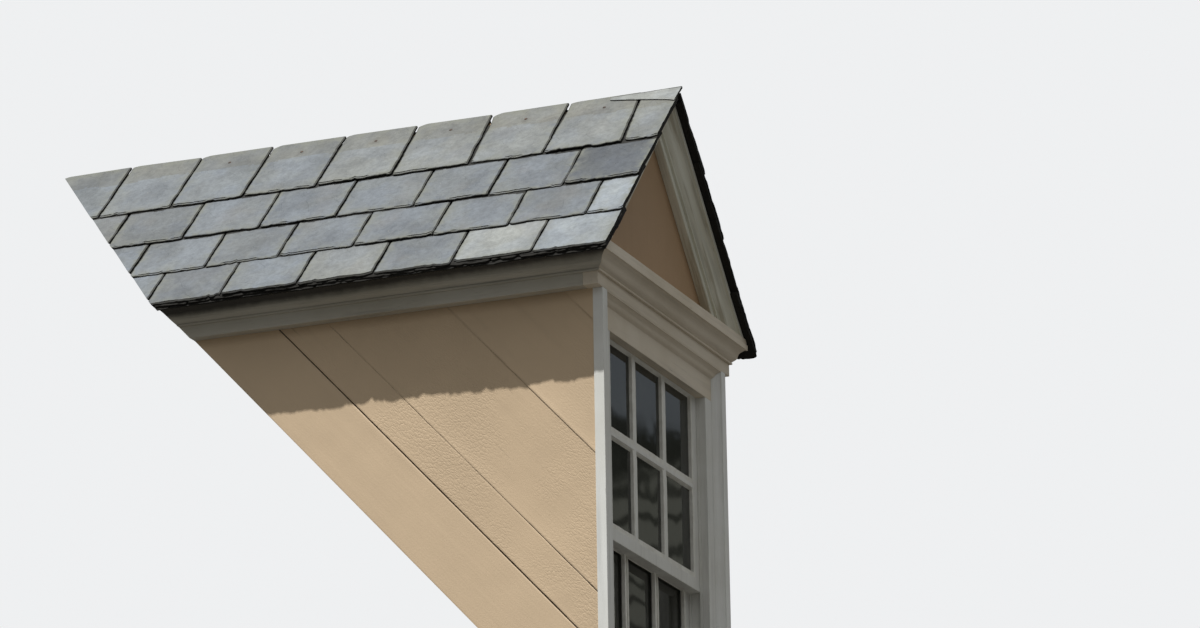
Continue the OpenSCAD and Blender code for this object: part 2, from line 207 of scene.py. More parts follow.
class Nodes:
    """A node tree. Each method adds a node and returns its output."""

    def __init__(self, tree, coordinates):
        self.tree = tree
        self.place = self.node("ShaderNodeTexCoord").outputs[coordinates]

    def wire(self, node, inputs):
        """Links or sets a node's inputs, given by name or number."""
        for key, value in inputs.items():
            socket = node.inputs[key if isinstance(key, int) else key.replace("_", " ")]
            if isinstance(value, bpy.types.NodeSocket):
                self.tree.links.new(value, socket)
            elif isinstance(value, tuple) and len(value) == 3 and socket.type == "RGBA":
                socket.default_value = (*value, 1)
            else:
                socket.default_value = value

    def node(self, kind, inputs=None, **settings):
        """Adds any node and returns the node itself."""
        node = self.tree.nodes.new(kind)
        for key, value in settings.items():
            setattr(node, key, value)
        self.wire(node, inputs or {})
        return node

    def value(self, name):
        """A value that a piece's faces or points carry."""
        return self.node("ShaderNodeAttribute", attribute_name=name).outputs["Fac"]

    def scaled(self, where, scale):
        """Coordinates drawn out or squeezed along each axis."""
        return self.node("ShaderNodeMapping", {"Vector": where, "Scale": scale}).outputs[0]

    def stretched(self, scale, turn):
        """Coordinates turned, so that the grain's axis is one of the object's, and then scaled."""
        turned = self.node("ShaderNodeVectorRotate", {"Vector": self.place, "Rotation": turn},
                           rotation_type="EULER_XYZ")
        return self.scaled(turned.outputs[0], scale)

    def cloud(self, scale, detail, roughness=0.55, where=None, distortion=0.0):
        """Noise, with its scale in cells to a metre."""
        return self.node("ShaderNodeTexNoise", {
            "Vector": where or self.place, "Scale": scale, "Detail": detail,
            "Roughness": roughness, "Distortion": distortion}).outputs["Fac"]

    def cell_edges(self, scale, where):
        """Distance to the nearest edge between cells."""
        return self.node("ShaderNodeTexVoronoi", {"Vector": where, "Scale": scale},
                         feature="DISTANCE_TO_EDGE").outputs["Distance"]

    def spread(self, value, low, high, to_low=0.0, to_high=1.0):
        """A value carried over smoothly from one range to another."""
        return self.node("ShaderNodeMapRange", {0: value, 1: low, 2: high, 3: to_low, 4: to_high},
                         interpolation_type="SMOOTHSTEP").outputs[0]

    def calc(self, operation, a, b):
        """Arithmetic on two values."""
        return self.node("ShaderNodeMath", {0: a, 1: b}, operation=operation).outputs[0]

    def mix(self, factor, a, b, blend="MIX"):
        """A colour between two others."""
        return self.node("ShaderNodeMix", {0: factor, 6: a, 7: b}, data_type="RGBA",
                         blend_type=blend).outputs[2]

    def tint(self, colour, factor):
        """A colour made lighter or darker by a factor."""
        return self.mix(1.0, colour, factor, "MULTIPLY")

    def cover(self, colour, mask, strength, paint):
        """A colour painted over another where a mask is, up to a strength."""
        return self.mix(self.calc("MULTIPLY", mask, strength), colour, paint)

    def bump(self, height, distance, under=None):
        """A normal from a height of up to a distance in metres, laid over another normal."""
        inputs = {"Height": height, "Distance": distance, "Strength": 1.0}
        if under is not None:
            inputs["Normal"] = under
        return self.node("ShaderNodeBump", inputs).outputs[0]


class Look(Nodes):
    """A material with one Principled shader, whose fixed inputs are given by name."""

    def __init__(self, name, **fixed):
        self.material = bpy.data.materials.new(name)
        self.material.use_nodes = True
        super().__init__(self.material.node_tree, "Object")
        self.shader = self.tree.nodes["Principled BSDF"]
        self.wire(self.shader, fixed)

    def finish(self, colour, dullness, normal):
        """Wires the shader and returns the material."""
        self.wire(self.shader, {"Base_Color": colour, "Roughness": dullness, "Normal": normal})
        return self.material


# Turns that bring the grain onto an axis, and the scale that draws it out along that axis
GRAIN = {
    "x": ((0, 0, 0), (0.06, 1, 1)),
    "y": ((0, 0, 0), (1, 0.06, 1)),
    "z": ((0, 0, 0), (1, 1, 0.06)),
    "left_rake": ((0, PITCH, 0), (0.06, 1, 1)),
    "right_rake": ((0, -PITCH, 0), (0.06, 1, 1)),
    "cheek": ((-PITCH, 0, 0), (1, 0.06, 1)),
}

# Clean white paint by the boards' grain: those across the front are warmer, and the rakes are
# a little green
CLEAN = {
    "x": (0.755, 0.672, 0.552),
    "y": (0.80, 0.80, 0.765),
    "z": (0.80, 0.812, 0.80),
    "left_rake": (0.82, 0.825, 0.735),
    "right_rake": (0.82, 0.825, 0.735),
}

# What ages the white paint, and the near-black painted shade under the eaves
GRIME = (0.42, 0.385, 0.30)
EAVE_SHADE = (0.022, 0.02, 0.016)
WEATHERED_WOOD = (0.37, 0.33, 0.24)
PAINT_CRACK = (0.25, 0.22, 0.17)

# Dirt in the joints of the cheeks
JOINT_DIRT = (0.10, 0.062, 0.034)

# Slate at its darkest and at its palest, and what lies on it
BLUE_SLATE = ((0.064, 0.072, 0.084), (0.201, 0.223, 0.244))
GREEN_SLATE = ((0.070, 0.071, 0.066), (0.215, 0.220, 0.206))
BROWN_BLOOM = (0.18, 0.163, 0.145)
RAIN_STREAK = (0.062, 0.063, 0.066)
WORN_EDGE = (0.145, 0.150, 0.126)
LICHEN = (0.26, 0.258, 0.23)
RUST_STAIN = (0.055, 0.044, 0.036)
# Near black: painted shade on the slates' edges, bevels and eave layers and under the tails, with
# dirt in the joints
SLATE_SHADE_AND_DIRT = (0.019, 0.018, 0.016)


def eave_shade(look, colour):
    """Painted shade on the top of a side crown, under the eave, reaching farther down towards the
    front.
    """
    place = look.node("ShaderNodeSeparateXYZ", {0: look.place}).outputs
    high = look.calc("ADD", place[2], look.calc("MULTIPLY", place[1], 0.008))
    ragged = look.calc("ADD", high, look.calc("MULTIPLY", look.cloud(30, 4), 0.008))
    top = SILL_Z + CROWN_TOP / 1000
    return look.cover(colour, look.spread(ragged, top - 0.032, top - 0.012), 0.93, EAVE_SHADE)


def white_paint(grain, darkening):
    """Old white oil paint, chalky, with grime, a few fine cracks and runs along the grain."""
    turn, scale = GRAIN[grain]
    look = Look(f"white_paint_{grain}_{int(darkening * 100)}", Specular_IOR_Level=0.3)
    along = look.stretched(scale, turn)
    grey = look.spread(look.cloud(3.5, 5), 0.35, 0.75)
    paint = np.array(CLEAN[grain]) * (1 - darkening) + np.array(GRIME) * darkening
    colour = look.mix(grey, tuple(paint), tuple(paint * (0.88, 0.87, 0.84)))
    weathered = "rake" in grain
    streaks = look.spread(look.cloud(55, 6, 0.6, along), 0.44 if weathered else 0.48, 0.75)
    strength = 0.7 if weathered else 0.4 + 0.3 * darkening
    colour = look.cover(colour, streaks, strength, tuple(paint * 0.6))
    if weathered:
        bare = look.spread(look.cloud(26, 5, 0.65, along), 0.51, 0.62)
        colour = look.cover(colour, bare, 0.65, WEATHERED_WOOD)
    # Painted shade on the tops of the side crowns, under the eaves
    if grain == "y":
        colour = eave_shade(look, colour)
    cracks = look.spread(look.cloud(240, 3, 0.6, along), 0.25, 0.30, 1, 0)
    colour = look.cover(colour, cracks, 0.5, PAINT_CRACK)
    normal = look.bump(look.cloud(180, 5, 0.6, along), 0.0006)
    normal = look.bump(look.calc("SUBTRACT", 1.0, cracks), 0.0004, normal)
    return look.finish(colour, look.spread(grey, 0, 1, 0.45, 0.65), normal)


def cheek_paint(name, grain, beige):
    """Beige oil paint that has wrinkled like an alligator's skin."""
    turn, scale = GRAIN[grain]
    beige = np.array(beige)
    look = Look(name, Specular_IOR_Level=0.3)
    along = look.stretched(scale, turn)
    faded = look.spread(look.cloud(5, 6), 0.3, 0.7)
    colour = look.mix(faded, tuple(beige), tuple(beige * 0.92))
    colour = look.mix(look.value("tone"), colour, tuple(beige * (1.04, 1.05, 1.07)))
    streaks = look.spread(look.cloud(30, 7, 0.62, along), 0.5, 0.85)
    colour = look.cover(colour, streaks, 0.25, tuple(beige * 0.66))
    specks = look.spread(look.cloud(90, 3, 0.6, along), 0.235, 0.275, 1, 0)
    colour = look.cover(colour, specks, 0.4, tuple(beige * 0.4))
    colour = look.cover(colour, look.value("rim"), 0.9, JOINT_DIRT)
    wrinkles = look.spread(look.cell_edges(150, look.scaled(along, (1, 7, 1))), 0, 0.22)
    patches = look.spread(look.cloud(4.5, 4), 0.34, 0.60)
    skin = look.calc("MULTIPLY", wrinkles, look.calc("MULTIPLY", look.value("warm"), patches))
    normal = look.bump(look.cloud(330, 4, 0.6), 0.0003)
    normal = look.bump(skin, 0.00028, normal)
    normal = look.bump(look.cloud(45, 5, 0.6, along), 0.0005, normal)
    return look.finish(colour, 0.6, normal)


def slate_look(name, side):
    """Cleft slate: tone and warmth of each slate come from its faces."""
    look = Look(name, Specular_IOR_Level=0.25)
    tone = look.value("tone")
    rim = look.value("rim")
    blue = look.mix(tone, *BLUE_SLATE)
    colour = look.mix(look.value("warm"), blue, look.mix(tone, *GREEN_SLATE))
    cloudy = look.cloud(8, 6, 0.6)
    colour = look.tint(colour, look.spread(cloudy, 0.34, 0.66, 0.80, 1.14))
    colour = look.tint(colour, look.spread(look.cloud(60, 7, 0.75), 0.35, 0.65, 0.86, 1.11))
    bluish = look.spread(look.cloud(9, 2), 0.4, 0.6)
    colour = look.tint(colour, look.mix(bluish, (1.01, 1.005, 0.98), (0.98, 1.0, 1.04)))
    patch = look.spread(look.cloud(6, 3, 0.5), 0.55, 0.72)
    colour = look.cover(colour, patch, 0.14, BROWN_BLOOM)
    down = look.stretched((0.22, 1, 1), (0, -side * PITCH, 0))
    streaks = look.spread(look.cloud(24, 8, 0.7, down), 0.47, 0.68)
    colour = look.cover(colour, streaks, 0.1, RAIN_STREAK)
    uneven = look.spread(look.cloud(32, 6, 0.7), 0.38, 0.6)
    worn = look.calc("MULTIPLY", look.value("edge"), uneven)
    colour = look.mix(worn, colour, WORN_EDGE)
    lichen = look.spread(look.cloud(95, 3, 0.5), 0.70, 0.75)
    colour = look.cover(colour, lichen, 0.3, LICHEN)
    colour = look.cover(colour, look.value("stain"), 0.75, RUST_STAIN)
    # Painted shade, with dirt, near black where the rim value is
    colour = look.cover(colour, rim, 0.98, SLATE_SHADE_AND_DIRT)
    flakes = look.spread(look.cloud(16, 4, 0.5, None, 0.8), 0.45, 0.5)
    normal = look.bump(flakes, 0.0007, look.bump(look.cloud(110, 6, 0.65), 0.0009))
    dull = look.spread(cloudy, 0.3, 0.7, 0.5, 0.75)
    dull = look.calc("ADD", dull, look.calc("MULTIPLY", rim, 0.4))
    return look.finish(colour, dull, normal)


def timber_look(name, grain):
    """Bare softwood, darkened with age."""
    turn, scale = GRAIN[grain]
    look = Look(name)
    along = look.stretched(scale, turn)
    rings = look.cloud(38, 5, 0.6, along, 0.8)
    colour = look.mix(look.spread(rings, 0.3, 0.7), (0.46, 0.33, 0.20), (0.26, 0.18, 0.11))
    colour = look.mix(look.spread(look.cloud(4, 4), 0.4, 0.7, 0, 0.5), colour, (0.22, 0.19, 0.15))
    checks = look.spread(look.cloud(120, 2, 0.5, along), 0.26, 0.31, 1, 0)
    colour = look.mix(checks, colour, (0.06, 0.045, 0.03))
    normal = look.bump(look.cloud(120, 5, 0.6, along), 0.0010)
    return look.finish(colour, 0.8, normal)


def glass_look():
    """Old dusty window glass, a little wavy, over a dark room: nearly opaque, its near-black colour
    painted shade for the room behind.
    """
    look = Look("old_glass", IOR=1.45, Alpha=0.9)
    dust_over_painted_shade = look.spread(look.cloud(14, 5), 0.5, 0.8)
    colour = look.mix(dust_over_painted_shade, (0.027, 0.029, 0.025), (0.044, 0.047, 0.041))
    return look.finish(colour, 0.02, look.bump(look.cloud(6, 1, 0.3), 0.0005))


def iron_look():
    """Rusty iron of the nails."""
    look = Look("rusty_iron", Metallic=0.3)
    rust = look.spread(look.cloud(300, 4), 0.4, 0.6)
    colour = look.mix(rust, (0.10, 0.055, 0.035), (0.05, 0.04, 0.035))
    return look.finish(colour, 0.75, look.bump(look.cloud(700, 3), 0.0004))


def putty_look():
    """Painted putty round the panes."""
    look = Look("putty")
    worn = look.spread(look.cloud(40, 5), 0.35, 0.7)
    colour = look.mix(worn, (0.77, 0.765, 0.72), (0.66, 0.65, 0.60))
    return look.finish(colour, 0.6, look.bump(look.cloud(200, 4), 0.0006))


BEIGE = cheek_paint("beige_paint", "cheek", (0.635, 0.485, 0.325))
BEIGE_FLAT = cheek_paint("beige_paint_front", "z", (0.45, 0.30, 0.178))
TIMBER = {grain: timber_look("timber_" + grain, grain) for grain in GRAIN}
SLATES = {side: slate_look("slate_" + SIDE[side], side) for side in SIDE}
GLASS = glass_look()
IRON = iron_look()
PUTTY = putty_look()


# Slates

# Thickness, length and range of widths of the slates, and the first width of the right slope's
# even and odd courses
SLATE = 6.0
SLATE_LENGTH = 425
SLATE_WIDTHS = (212, 228)
FIRST_WIDTH = (215, 110)

# Range of widths of the joints between slates, and how much wider they are in the top course
GAPS = (3.8, 6.4)
TOP_GAP = 1.6

# How much a laid slate drops below the roof's surface for each millimetre up from its tail
LIE = 5.8 / 182

# Tails of the courses from the eave up, and heads of the top course: the left slope's stand a
# little above the ridge
TAILS = [EAVE_U, EAVE_U - 175, EAVE_U - 355, EAVE_U - 550]
TOP_HEAD = {-1: -17, 1: 16}

# The length shown of a slate that no other slate covers
UNCOVERED = 1e6

# The short slates under the lowest course: their length and the range of their widths, and how
# far back from their tails the lowest course ends
LAYER_LENGTH = 205
LAYER_WIDTHS = (210, 226)
EAVE_BACK = 8

# How far up from its tail a slate's bevel is dark
BEVEL = 6.4

# Nails of the top course: how far down from the ridge and how far back they are, and the radius
# and height of each ring of points on their heads
NAIL_U = 45
NAILS_V = [153, 380, 600, 822, 1044, 1262]
NAIL_RINGS = [(4.5, -2), (4.5, 0.8), (2.2, 2)]

# Tone and warmth of a kind of slate
PALE = (1.15, 0.1)
CREAM = (1.0, 0.6)
GREEN = (0.65, 0.5)
GREY = (0.44, 0.1)
DARK = (0.05, 0.1)

# Left slope: where the joints of each course lie, and which kind its front slates are
JOINTS = [[150, 375, 598], [45, 261, 476, 703], [156, 369, 584], [41, 265, 482, 705]]
JOINTS_AT_HEAD = [60, 269, 492, 715]
KINDS = [[PALE, CREAM, GREY, GREEN], [PALE, GREY, GREY, GREY, GREY],
         [DARK, GREY, GREY, GREY], [GREEN, GREEN, GREEN, GREEN, GREEN]]


def slate_grid(length, width, shown):
    """Shares of the length and width at which a slate has points, closer together at its edges."""
    up = [[0, 2.2, 4.6, BEVEL, 9.5], np.arange(15, min(215, length - 6), 8.5),
          np.arange(250, length - 20, 45), [length - 3, length]]
    # Rows for the shade where the next course starts to cover it
    if 100 < shown < length:
        up.append([shown - 11, shown - 8, shown - 5, shown - 2])
    across = np.concatenate([[0, 1.8, 4.5], np.linspace(10, width - 10, int(width / 8)),
                             [width - 4.5, width - 1.8, width]])
    return np.meshgrid(np.unique(np.concatenate(up)) / length, across / width, indexing="ij")


def slate_side(ends, b, along, seed, slow_at, quick_at):
    """A long edge of a slate between its two ends, with slow and quick wear."""
    straight = ends[0] + (ends[1] - ends[0]) * b
    return straight + 3 * rough(along, slow_at, seed, 60) + 1.6 * rough(along, quick_at, seed, 13)


def slate_tail(tail, skew, broken, a, over, seed):
    """The tail of a slate: a little askew, worn, nibbled, and with its corners broken off."""
    width = over.max()
    nibble = np.clip(rough(over, 50, seed + 3, 13) - 0.25, 0, 1)
    corner = np.clip(1 - np.minimum(over, width - over) / 9, 0, 1) ** 2
    line = tail + skew * (a - 0.5) * 2 + 4.5 * rough(over, 0, seed + 3, 60)
    return line + 2.6 * rough(over, 20, seed + 3, 15) - 15 * nibble - broken * corner


def slate_bevel(along, over, side_gap, u, v, split, seed):
    """How deep the edges are dressed: along the tail, deeper where split, and at the sides."""
    tail = np.clip(1 - along / (7 + 3 * rough(over, 70, seed, 22)), 0, 1) ** 1.2 * 2.0
    tail = tail + 1.3 * split * (along < 5)
    side_depth = 1.1 + 0.6 * rough(u, v, seed + 5, 14)
    return np.maximum(tail, np.clip(1 - side_gap / 4.5, 0, 1) * side_depth)


def slate_rim(along, over, side_gap, split, seed, shown, darkening):
    """How dark each face of a slate is: painted shade at its edges, on its bevels and under the next
    course's tail, and painted shade with dirt past the length shown, where only the open joints
    above let it be seen."""
    cell = (along[:-1, :-1] + along[1:, :-1]) / 2
    rim = np.where(cell < 2.2, 0.75, 0.0)
    rim = np.where((cell > 4) & (cell < BEVEL) & split[:-1, :-1], 0.9, rim)
    rim = np.where((side_gap[:-1, :-1] < 1.9) & (side_gap[:-1, 1:] < 4.6), 0.7, rim)
    # Painted shade on the tail's bevel, along the eave
    rim = np.where(cell < BEVEL, np.maximum(rim, darkening), rim)
    # Painted shade on the covered slate just below the next course's tail
    tail_shade_from = shown - 8 + 6 * rough(over, 500, seed + 9, 40)
    rim = np.where(cell > tail_shade_from[:-1, :-1], 0.88, rim)
    return np.where(cell > shown, 0.97, rim)


def ridge_wear(u, v, kind):
    """Tone and warmth of a slate of the top course, aged at its head, and its rust stains."""
    tone, warm = kind
    aged = (u < 84 + 12 * rough(v, 0, 5, 60))[:-1, :-1]
    spots = [np.exp(-(((u - NAIL_U - 3) / 11) ** 2 + ((v - at) / 13) ** 2)) for at in NAILS_V]
    return tone - 0.14 * aged, warm + 0.6 * aged, np.max(spots, axis=0)


def slate(bag, side, tail, heads, low, high, chance, kind, shown=UNCOVERED, chip=0, darkening=0.0):
    """One slate, from its tail (u) to its two heads (u), with an edge low and an edge high (v).

    Edges are given at the tail and at the head. chip is how far the farther top corner is broken
    off, and the last argument paints shade on the bevel of the tail.
    """
    length = tail - min(heads)
    width = high[0] - low[0]
    b, a = slate_grid(length, width, shown)
    along, over = b * length, a * width
    seed = chance.random() * 50
    lift = chance.choice([0.3, 0.6, 1.2, 2.0, 3.2])
    skew = chance.uniform(-1.8, 1.8)
    broken = chance.uniform(1, 7)

    start = np.maximum(slate_side(low, b, along, seed, 0, 200), GABLE_Y)
    stop = slate_side(high, b, along, seed, 90, 300)
    v = start + (stop - start) * a
    foot = slate_tail(tail, skew, broken, a, over, seed)
    chipped = np.clip(1 - (width - over) / 24, 0, 1) ** 1.4
    top = heads[0] + (heads[1] - heads[0]) * a + chip * chipped
    u = foot + (top - foot) * b

    # Only the edge at the gable isn't dressed
    at_gable = low[0] < GABLE_Y + 6
    side_gap = np.minimum(over + 99 * at_gable, width - over)
    split = rough(over, 400, seed + 6, 38) > 0.0
    inside = np.minimum(np.minimum(over, width - over), np.minimum(along, length - along))
    relief = 0.5 * rough(u, v, seed + 7, 55) + 0.28 * rough(u, v, seed + 8, 17)
    lie = lift * (1 - b) ** 2 - (tail - u) * LIE
    height = lie + relief * np.clip(inside / 6, 0, 1)
    height = height - slate_bevel(along, over, side_gap, u, v, split, seed)

    tone, warm, stain = ridge_wear(u, v, kind) if shown == UNCOVERED else (*kind, 0 * u)
    bag.slab(on_slope(side, u, v, height), on_slope(side, u, v, lie - SLATE),
             rim=slate_rim(along, over, side_gap, split, seed, shown, darkening),
             tone=tone, warm=warm, edge=np.exp(-inside / 15), stain=stain)


def course_edges(row, side, end, chance):
    """Joints of one course from the gable edge to past the main roof."""
    if side < 0:
        edges = [GABLE_Y, *JOINTS[row]]
    else:
        edges = [GABLE_Y, GABLE_Y + FIRST_WIDTH[row % 2]]
    while edges[-1] < end:
        edges.append(edges[-1] + chance.uniform(*SLATE_WIDTHS))
    return edges


def course(bag, side, row, chance):
    """One course of slates."""
    tail = TAILS[row]
    at_eave = row == 0
    at_ridge = row == len(TAILS) - 1
    comb = at_ridge and side < 0
    head = TOP_HEAD[side] if at_ridge else tail - SLATE_LENGTH
    shown = UNCOVERED if at_ridge else tail - TAILS[row + 1] + 3
    edges = course_edges(row, side, meets_roof(RIDGE_Z - head * SIN), chance)
    at_head = list(edges)
    if comb:
        at_head[1:5] = JOINTS_AT_HEAD
    for i, (low, high) in enumerate(zip(edges, edges[1:])):
        gap = chance.uniform(*GAPS) + TOP_GAP * at_ridge
        wedge = chance.uniform(-1.5, 2.5)
        spread = 0 if at_ridge and side > 0 else 3
        heads = (head + chance.uniform(-spread, spread), head + chance.uniform(-spread, spread))
        kind = (chance.uniform(0.35, 0.6), chance.uniform(0, 0.3))
        if side < 0 and i < len(KINDS[row]):
            kind = KINDS[row][i]
        near = chance.uniform(0, 3.5) if i == 0 else gap / 2
        foot = tail + chance.uniform(-3, 1) - EAVE_BACK * at_eave
        chip = chance.uniform(5, 16) if comb else 0
        # Along the eave, the last argument paints shade on the tails' bevels
        slate(bag, side, foot, heads, (low + near, at_head[i] + near),
              (high - gap / 2, at_head[i + 1] - gap / 2 - wedge), chance, kind, shown, chip,
              0.9 * at_eave)


def eave_layers(bag, side, chance):
    """Two layers of short slates under the lowest course, of which only the edges show, darkened all
    over with painted shade.
    """
    head = EAVE_U - LAYER_LENGTH
    end = meets_roof(RIDGE_Z - (head + 5) * SIN)
    edges = [GABLE_Y + 2, GABLE_Y + 110]
    while edges[-1] < end:
        edges.append(edges[-1] + chance.uniform(*LAYER_WIDTHS))
    for layer in (1, 2):
        down = np.array([side * SIN, 0, COS]) * SLATE * layer
        for low, high in zip(edges, edges[1:]):
            under = Bag()
            slate(under, side, EAVE_U - 6 + 3 * layer, (head, head), (low, low),
                  (high - 2, high - 2), chance, DARK)
            # The whole layers are painted near black, as shade
            bag.add(np.array(under.points) - down, under.faces, rim=1.0)
        edges = [GABLE_Y + 2, GABLE_Y + 60, *[v + 60 for v in edges[1:]]]


def ridge_sliver(bag):
    """A pale wedge of slate along the ridge, over the heads of the two front slates."""
    end = 145
    v, t = np.meshgrid(np.linspace(GABLE_Y + 1, end, 24), np.linspace(0, 1, 9), indexing="ij")
    along = (v - GABLE_Y) / (end - GABLE_Y)
    head = -16 + 4 * along
    foot = 68 - 58 * along ** 0.8 + 1.2 * rough(v, 3, 3, 20)
    u = head + (foot - head) * t
    lie = -(TAILS[-1] - u) * LIE
    top = 0.9 + 3.0 * t + 0.4 * rough(u, v, 9, 30) - 1.0 * (np.abs(2 * t - 1) > 0.99)
    bag.slab(on_slope(-1, u, v, lie + top), on_slope(-1, u, v, lie + 0.4), tone=1.3, warm=0.7)


def slates(side):
    """All the slates of a slope as one piece."""
    chance = random.Random(4 + side)
    bag = Bag()
    for row in range(len(TAILS)):
        course(bag, side, row, chance)
    eave_layers(bag, side, chance)
    if side < 0:
        ridge_sliver(bag)
    name = SIDE[side] + "_slate"
    bag.piece(name + "_courses", SLATES[side], "slate", [MAIN_ROOF], [name + "s"])


def nails(side):
    """Nails with domed heads in the top course."""
    bag = Bag()
    turns = 12
    ring = np.linspace(0, 2 * math.pi, turns, endpoint=False)
    lie = -(TAILS[-1] - NAIL_U) * LIE
    for v in NAILS_V:
        rings = [on_slope(side, NAIL_U + radius * np.cos(ring), v + radius * np.sin(ring), lie + h)
                 for radius, h in NAIL_RINGS]
        faces = [(start + i, start + (i + 1) % turns, start + turns + (i + 1) % turns,
                  start + turns + i) for start in (0, turns) for i in range(turns)]
        faces += [tuple(range(2 * turns, 3 * turns)), tuple(range(turns - 1, -1, -1))]
        bag.add(np.vstack(rings), faces)
    bag.piece(SIDE[side] + "_slate_nails", IRON, "slate")


# Boards

# Where the boards of a cheek and of the roof start and stop before they are cut to length
CHEEK_REACH = (-20, 2000)
DECK_REACH = (DECK_Y, 1800)

# A joint between boards goes from its first width to its second over this length
CLOSES_OVER = 900

# Joints of a cheek: how far up from the main roof each is, its two widths, how far the edges
# beside it are rounded, and how soiled they are
JOINT_AT = [0, 180, 282, 530, 770, 960]
JOINT_GAP = [(0, 0), (3.4, 3.0), (3.4, 0.1), (0.3, 0.2), (0.1, 0.1), (0, 0)]
JOINT_ROUND = [0.3, 0.9, 0.8, 0.4, 0.2, 0.2]
JOINT_SOIL = [0.07, 0.07, 0.07, 0.13, 0.07, 0.07]

# Boards of a cheek: how pale, how wrinkled and how cupped each is
BOARD_TONE = [0.6, 0.2, 0.15, 0.3, 0.3]
BOARD_WRINKLES = [0.1, 1.0, 0.9, 0.45, 0.3]
BOARD_CUP = [0, 1.0, 2.0, 3.0, 0.8]

# Roof boards: the width of the one at the ridge, the range of the others and the joint between
RIDGE_BOARD = 96
DECK_WIDTHS = (138, 158)
DECK_JOINT = 2


def board_grid(reach, step, low, high, seed, wander, low_gap=(0, 0), high_gap=(0, 0)):
    """Grid along a board, with edges that wander a little and rows close to each edge.

    Each gap is the pair of widths of the joint beside that edge.
    """
    along = np.linspace(*reach, int((reach[1] - reach[0]) / step))
    width = high - low
    over = np.concatenate([[0, 1.5, 4], np.linspace(14, width - 14, int(width / 15)),
                           [width - 4, width - 1.5, width]]) / width
    s, t = np.meshgrid(along, over, indexing="ij")
    d0 = low + wander * (rough(s, 0, seed, 90) + 0.5 * rough(s, 5, seed, 22))
    d0 = d0 + np.interp(s, (0, CLOSES_OVER), low_gap) / 2
    d1 = high + wander * (rough(s, 40, seed, 90) + 0.5 * rough(s, 45, seed, 22))
    d1 = d1 - np.interp(s, (0, CLOSES_OVER), high_gap) / 2
    edge = np.minimum(t, 1 - t) * width
    return s, d0 + (d1 - d0) * t, edge


def cheek(side):
    """Diagonal boards of one cheek, and the end of a board that shows under the backband."""
    name = SIDE[side] + "_cheek"
    boards = Bag()
    for i, (low, high) in enumerate(zip(JOINT_AT, JOINT_AT[1:])):
        s, d, edge = board_grid(CHEEK_REACH, 14, low, high, 11 * side + i, 0.7 if i else 0,
                                JOINT_GAP[i], JOINT_GAP[i + 1])
        lower_half = d < (low + high) / 2
        deep = np.where(lower_half, JOINT_ROUND[i], JOINT_ROUND[i + 1])
        drop = np.clip(1 - edge / 3, 0, 1) ** 2 * deep + 0.5
        drop = drop - 0.35 * rough(s, d, i + 20 * side, 70)
        drop = drop + BOARD_CUP[i] * (1 - np.exp((low - d) / 22)) * (1 + 0.5 * rough(s, 8, i, 160))
        soil = np.where(lower_half, JOINT_SOIL[i], JOINT_SOIL[i + 1]) * (edge < 3.9)
        soil = (soil * (1 + rough(s, 0, i, 50)))[:-1, :-1]
        boards.slab(on_cheek(side, s, d, CHEEK_X - drop), on_cheek(side, s, d, POST_X),
                    tone=BOARD_TONE[i], warm=BOARD_WRINKLES[i], rim=soil)
    boards.piece(name + "_board_laid", BEIGE, "cheek_paint",
                 [((0, BAND_D, 0), (0, -1, 0)), ((0, 0, CHEEK_TOP), (0, 0, 1)), MAIN_ROOF],
                 [name + "_boards"])
    outline = [(0, 0), (0, 50), (BAND_D, 52.7), (BAND_D, 0)]
    end = Bag()
    end.add([(side * x, y, z) for x in (POST_X, CHEEK_X) for y, z in outline],
            [(0, 1, 2, 3), (7, 6, 5, 4), (0, 4, 5, 1), (1, 5, 6, 2), (2, 6, 7, 3), (3, 7, 4, 0)])
    end.piece(name + "_sill_end", BEIGE, "cheek_paint")


def deck(side):
    """Roof boards that run from the gable back to the main roof."""
    chance = random.Random(30 + side)
    bag = Bag()
    edges = [0, RIDGE_BOARD]
    while edges[-1] < DECK_X / COS + DECK * SIN:
        edges.append(edges[-1] + chance.uniform(*DECK_WIDTHS))
    for i, (low, high) in enumerate(zip(edges, edges[1:])):
        past_ridge = 30 * (i == 0)
        v, u, edge = board_grid(DECK_REACH, 60, low - past_ridge, high - DECK_JOINT,
                                31 * side + i, 0.5)
        drop = np.clip(1 - edge / 2, 0, 1) * 0.8
        bag.slab(on_slope(side, u, v, -STACK - drop), on_slope(side, u, v, -STACK - DECK))
    cuts = [((0, 0, 0), (-side, 0, 0)), ((side * DECK_X, 0, 0), (side, 0, 0)),
            ((0, 0, CROWN_TOP), (0, 0, -1)), MAIN_ROOF]
    name = SIDE[side] + "_roof_board"
    bag.piece(name + "_laid", TIMBER["y"], "timber", cuts, [name + "s"])


# Putty

# Daylight of a pane and the spacing of the panes, across and up, and the glass hidden at its edge
PANE = (190, 235)
PANE_STEP = (212, 257)
GLASS_HIDDEN = 5

# Inner edge of the putty past the pane's edge, and how far behind the bars' faces it starts, for
# the foot, the right side, the top and the left side of a pane
PUTTY_EDGE = [(7.0, 0.5), (3.0, 0.5), (-2.4, 4.2), (0.4, 0.6)]
INWARDS = np.array([(0, 1), (-1, 0), (0, -1), (1, 0)])

# How far the putty reaches under the bars, and how far behind their faces it starts and ends there
PUTTY_UNDER_BAR = 6.4
PUTTY_FRONT = 0.3
PUTTY_BACK = 9

# Sections along each side of a pane
PUTTY_SECTIONS = 14


